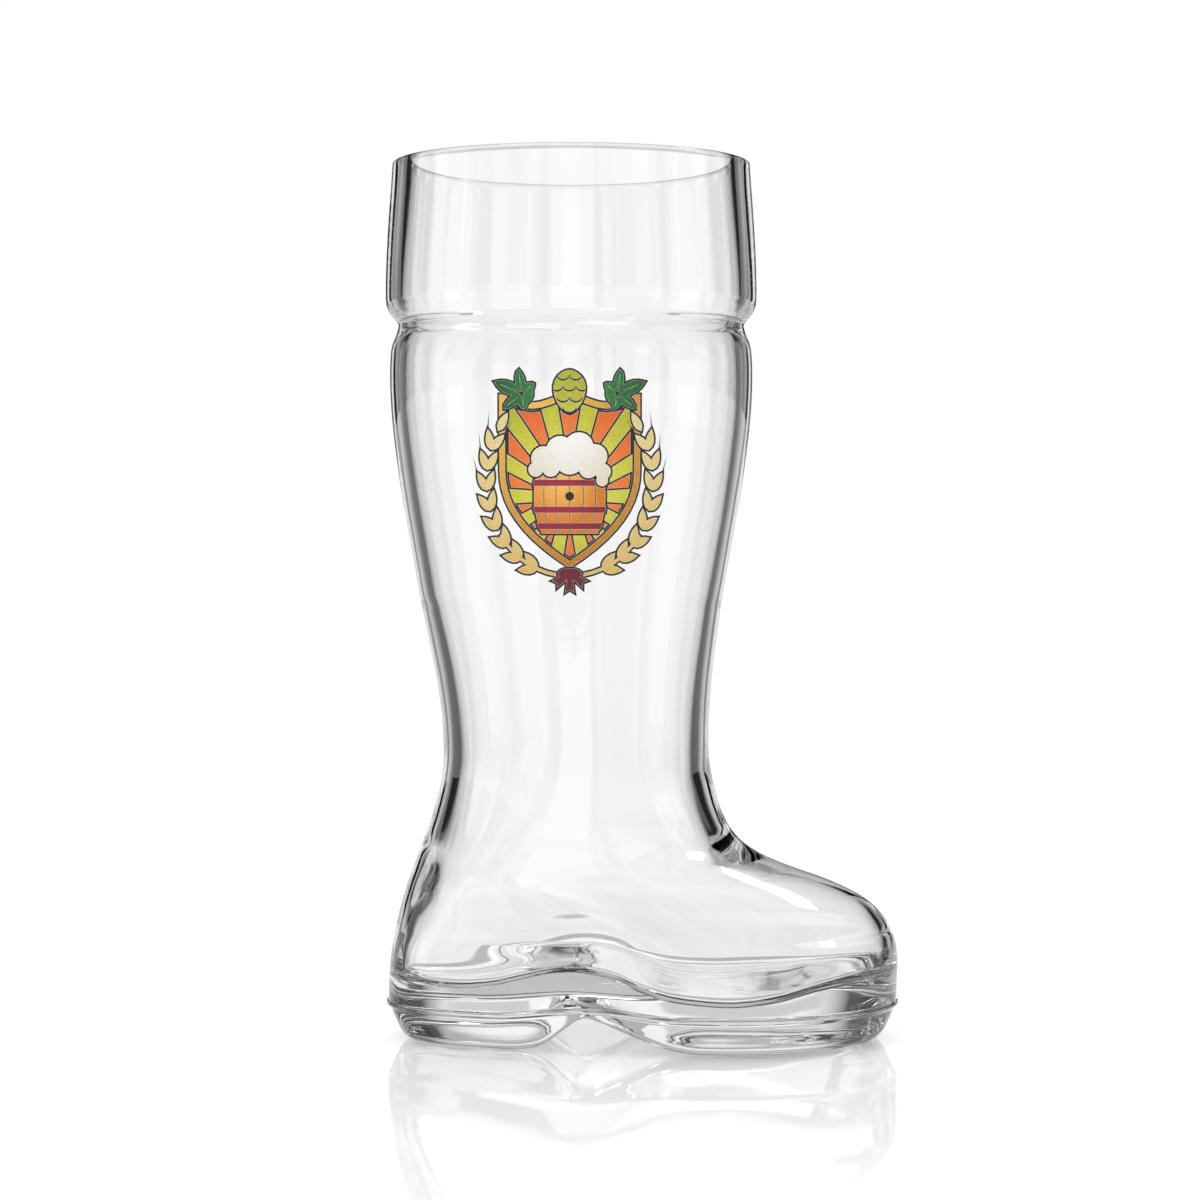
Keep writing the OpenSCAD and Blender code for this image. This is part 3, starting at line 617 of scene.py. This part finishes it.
# Bars: the rises where each starts, is full, starts to fade and ends, and how dark it is. The first shows in
# the boot's floor, the next two only where a ray passed one body of glass, as in the sole, and the strip
# hangs overhead
FLOOR_BAR = (-0.57, -0.5, -0.38, -0.31, 0.53)
SOLE_LOW_BAR = (-0.36, -0.3, -0.03, 0.03, 0.46)
SOLE_HIGH_BAR = (0.04, 0.06, 0.095, 0.115, 0.34)
STRIP = (0.3, 0.38, 0.55, 0.63, 0.53)
ONE_BODY = 2.5
# What the outer skin mirrors: a card beside each window, which draws the thin dark outline, and one above
EDGE = (math.radians(4), math.radians(6), math.radians(18), math.radians(20), 1.0)
TOP_FROM, TOP_TO = 0.2, 0.3
# Strengths: white itself, and the light that falls on the table and the inks
WHITE = 1.0
WORLD_LIGHT = 0.9
# Between none and one, for counts of bounces
ANY = 0.5
SMOOTH = {"interpolation_type": "SMOOTHSTEP"}
MULTIPLY = {"operation": "MULTIPLY"}
MAXIMUM = {"operation": "MAXIMUM"}


def bar(value, start, full, fade, end, darkness):
    """A soft-edged bar over a value of the world's rays."""
    into = add(
        tree, "ShaderNodeMapRange", SMOOTH, Value=value, From_Min=start, From_Max=full, To_Max=darkness,
    )
    out_of = add(tree, "ShaderNodeMapRange", SMOOTH, Value=value, From_Min=end, From_Max=fade)
    return add(tree, "ShaderNodeMath", MULTIPLY, i0=into, i1=out_of)


# Directions and counts of bounces
path = add(tree, "ShaderNodeLightPath")
mirrors = path.outputs["Glossy Depth"]
passes = path.outputs["Transmission Depth"]
place = add(tree, "ShaderNodeTexCoord")
axes = add(tree, "ShaderNodeSeparateXYZ", i0=place.outputs["Generated"])
rise = axes.outputs["Z"]
turn = add(tree, "ShaderNodeMath", {"operation": "ARCTAN2"}, i0=axes.outputs["Y"], i1=axes.outputs["X"])
off = add(tree, "ShaderNodeMath", {"operation": "PINGPONG"}, i0=turn, i1=EIGHTH / 2)
off_main = add(tree, "ShaderNodeMath", {"operation": "PINGPONG"}, i0=turn, i1=EIGHTH)
level = add(tree, "ShaderNodeMapRange", SMOOTH, Value=rise, From_Min=LEVEL_FROM, From_Max=LEVEL_TO)
turned = add(tree, "ShaderNodeMath", {"operation": "SUBTRACT"}, i0=turn, i1=BEHIND_RIGHT)
off_right = add(tree, "ShaderNodeMath", {"operation": "ABSOLUTE"}, i0=turned)
off_level = add(tree, "ShaderNodeMath", {"operation": "MINIMUM"}, i0=off_main, i1=off_right)
aside = add(tree, "ShaderNodeMix", {"data_type": "FLOAT"}, i0=level, i2=off, i3=off_level)

# What light mirrored inside a wall meets
gaps = add(tree, "ShaderNodeMapRange", SMOOTH, Value=off_level, From_Min=CARD_FROM, From_Max=CARD_TO)
near_card = add(
    tree, "ShaderNodeMapRange", SMOOTH, Value=off_level, From_Min=SLIT_FROM, From_Max=SLIT_TO, To_Min=1.0,
    To_Max=SLIT_DARK,
)
far_card = add(
    tree, "ShaderNodeMapRange", Value=off_level, From_Min=FAR_FROM, From_Max=FAR_TO, To_Min=SLIT_DARK,
    To_Max=FAR_DARK,
)
pair = add(tree, "ShaderNodeMath", MAXIMUM, i0=near_card, i1=far_card)
all_cards = add(tree, "ShaderNodeMath", MULTIPLY, i0=gaps, i1=pair)
steep = add(tree, "ShaderNodeMapRange", SMOOTH, Value=rise, From_Min=STEEP_FROM, From_Max=STEEP_TO)
high = add(
    tree, "ShaderNodeMapRange", SMOOTH, Value=rise, From_Min=HIGH_FROM, From_Max=HIGH_TO, To_Min=1.0,
    To_Max=HIGH_CARD,
)
reach = add(tree, "ShaderNodeMath", MULTIPLY, i0=steep, i1=high)
cards = add(tree, "ShaderNodeMath", MULTIPLY, i0=all_cards, i1=reach)
ground = add(
    tree, "ShaderNodeMapRange", SMOOTH, Value=rise, From_Min=MIRROR_FROM, From_Max=MIRROR_TO,
    To_Max=MIRROR_DARK,
)
cards_low = add(tree, "ShaderNodeMath", MAXIMUM, i0=cards, i1=ground)
many = add(tree, "ShaderNodeMath", {"operation": "COMPARE"}, i0=mirrors, i1=MANY, i2=MANY_REACH)
ends = add(tree, "ShaderNodeMath", MAXIMUM, i0=cards_low, i1=many)

# What light that only bent meets
sides = add(
    tree, "ShaderNodeMapRange", Value=aside, From_Min=SHADE_FROM, From_Max=SHADE_TO, To_Max=SHADE,
)
side_shade = add(tree, "ShaderNodeMath", {"operation": "POWER"}, i0=sides, i1=SHADE_BEND)
low_top = add(
    tree, "ShaderNodeMapRange", SMOOTH, Value=rise, From_Min=LOW_FROM, From_Max=LOW_TO, To_Max=LOW_SHADE,
)
low_foot = add(tree, "ShaderNodeMapRange", SMOOTH, Value=rise, From_Min=LOW_END, From_Max=LOW_TO)
low_side = add(
    tree, "ShaderNodeMapRange", SMOOTH, Value=off_main, From_Min=LOW_HALF, From_Max=LOW_HALF_END,
    To_Min=1.0, To_Max=0.0,
)
low_fade = add(tree, "ShaderNodeMath", MULTIPLY, i0=low_top, i1=low_foot)
low_band = add(tree, "ShaderNodeMath", MAXIMUM, i0=low_fade, i1=bar(rise, *FLOOR_BAR))
low_shade = add(tree, "ShaderNodeMath", MULTIPLY, i0=low_band, i1=low_side)
sole_bars = add(
    tree, "ShaderNodeMath", MAXIMUM, i0=bar(rise, *SOLE_LOW_BAR), i1=bar(rise, *SOLE_HIGH_BAR),
)
solid = add(tree, "ShaderNodeMath", {"operation": "LESS_THAN"}, i0=passes, i1=ONE_BODY)
bars_side = add(tree, "ShaderNodeMath", MULTIPLY, i0=sole_bars, i1=low_side)
sole_shade = add(tree, "ShaderNodeMath", MULTIPLY, i0=bars_side, i1=solid)
hollow_shade = add(tree, "ShaderNodeMath", MAXIMUM, i0=side_shade, i1=low_shade)
shade = add(tree, "ShaderNodeMath", MAXIMUM, i0=hollow_shade, i1=sole_shade)

# All that shows through the glass
mirrored = add(tree, "ShaderNodeMath", {"operation": "GREATER_THAN"}, i0=mirrors, i1=ANY)
around = add(tree, "ShaderNodeMix", {"data_type": "FLOAT"}, i0=mirrored, i2=shade, i3=ends)
dark = add(tree, "ShaderNodeMath", MAXIMUM, i0=around, i1=bar(rise, *STRIP))

# What the outer skin mirrors
top = add(tree, "ShaderNodeMapRange", SMOOTH, Value=rise, From_Min=TOP_FROM, From_Max=TOP_TO)
edge_top = add(tree, "ShaderNodeMath", MAXIMUM, i0=bar(off, *EDGE), i1=top)
sharp = add(
    tree, "ShaderNodeMath", MULTIPLY, i0=path.outputs["Is Glossy Ray"], i1=path.outputs["Is Singular Ray"],
)
edge_card = add(tree, "ShaderNodeMath", MULTIPLY, i0=edge_top, i1=sharp)

# The camera sees white, mirrors see white and the skin's cards, and glass shows its own. All other light is
# plain, and so is what glass shows in light that has left a matt surface
seen = add(
    tree, "ShaderNodeMath", MAXIMUM, i0=path.outputs["Is Camera Ray"], i1=path.outputs["Is Glossy Ray"],
)
light = add(tree, "ShaderNodeBackground", Color=linear("#FFFFFF"), Strength=WORLD_LIGHT)
backdrop = add(tree, "ShaderNodeBackground", Color=linear("#FFFFFF"), Strength=WHITE)
card = add(tree, "ShaderNodeBackground", Color=linear("#060606"), Strength=WHITE)
behind = add(tree, "ShaderNodeMixShader", i0=dark, i1=backdrop, i2=card)
outside = add(tree, "ShaderNodeMixShader", i0=edge_card, i1=backdrop, i2=card)
both = add(tree, "ShaderNodeMixShader", i0=seen, i1=light, i2=outside)
first = add(
    tree, "ShaderNodeMath", {"operation": "LESS_THAN"}, i0=path.outputs["Diffuse Depth"], i1=ANY,
)
through = add(tree, "ShaderNodeMath", MULTIPLY, i0=path.outputs["Is Transmission Ray"], i1=first)
whole = add(tree, "ShaderNodeMixShader", i0=through, i1=both, i2=behind)
add(tree, "ShaderNodeOutputWorld", Surface=whole)


# Softboxes: place and size in metres, power in watts
SOFTBOXES = {
    "top_softbox": ((-0.35, -0.5, 1.1), (0.6, 0.4), 2),
    "strip_softbox": ((0.5, 0.33, 0.91), (0.5, 0.12), 1.2),
}
BOOT_MIDDLE = Vector((0, 0, HEIGHT * MM / 2))


def softbox(name, place, size, power):
    lamp = bpy.data.lights.new(name, "AREA")
    lamp.shape = "RECTANGLE"
    lamp.size, lamp.size_y = size
    lamp.energy = power
    thing = bpy.data.objects.new(name, lamp)
    thing.location = place
    thing.rotation_euler = (BOOT_MIDDLE - Vector(place)).to_track_quat("-Z", "Y").to_euler()
    bpy.context.scene.collection.objects.link(thing)
    thing.visible_camera = False


for softbox_name, (softbox_place, softbox_size, softbox_power) in SOFTBOXES.items():
    softbox(softbox_name, softbox_place, softbox_size, softbox_power)

# Camera: the photograph's height, distance and framing
LENS = 90
SENSOR = 36
CAMERA_X = -9.5 * MM
CAMERA_Z = 115 * MM
CAMERA_Y = -660 * MM
PITCH = math.radians(1.62)
camera_data = bpy.data.cameras.new("camera")
camera_data.lens = LENS
camera_data.sensor_width = SENSOR
camera = bpy.data.objects.new("camera", camera_data)
camera.location = (CAMERA_X, CAMERA_Y, CAMERA_Z)
camera.rotation_euler = (math.pi / 2 - PITCH, 0, 0)
bpy.context.scene.collection.objects.link(camera)
bpy.context.scene.camera = camera

bpy.context.scene.view_settings.view_transform = "Standard"
# Light turns many times inside thick glass, and is black where it runs out of bounces
BOUNCES = 64
for limit in ("max_bounces", "transmission_bounces", "glossy_bounces"):
    setattr(bpy.context.scene.cycles, limit, BOUNCES)
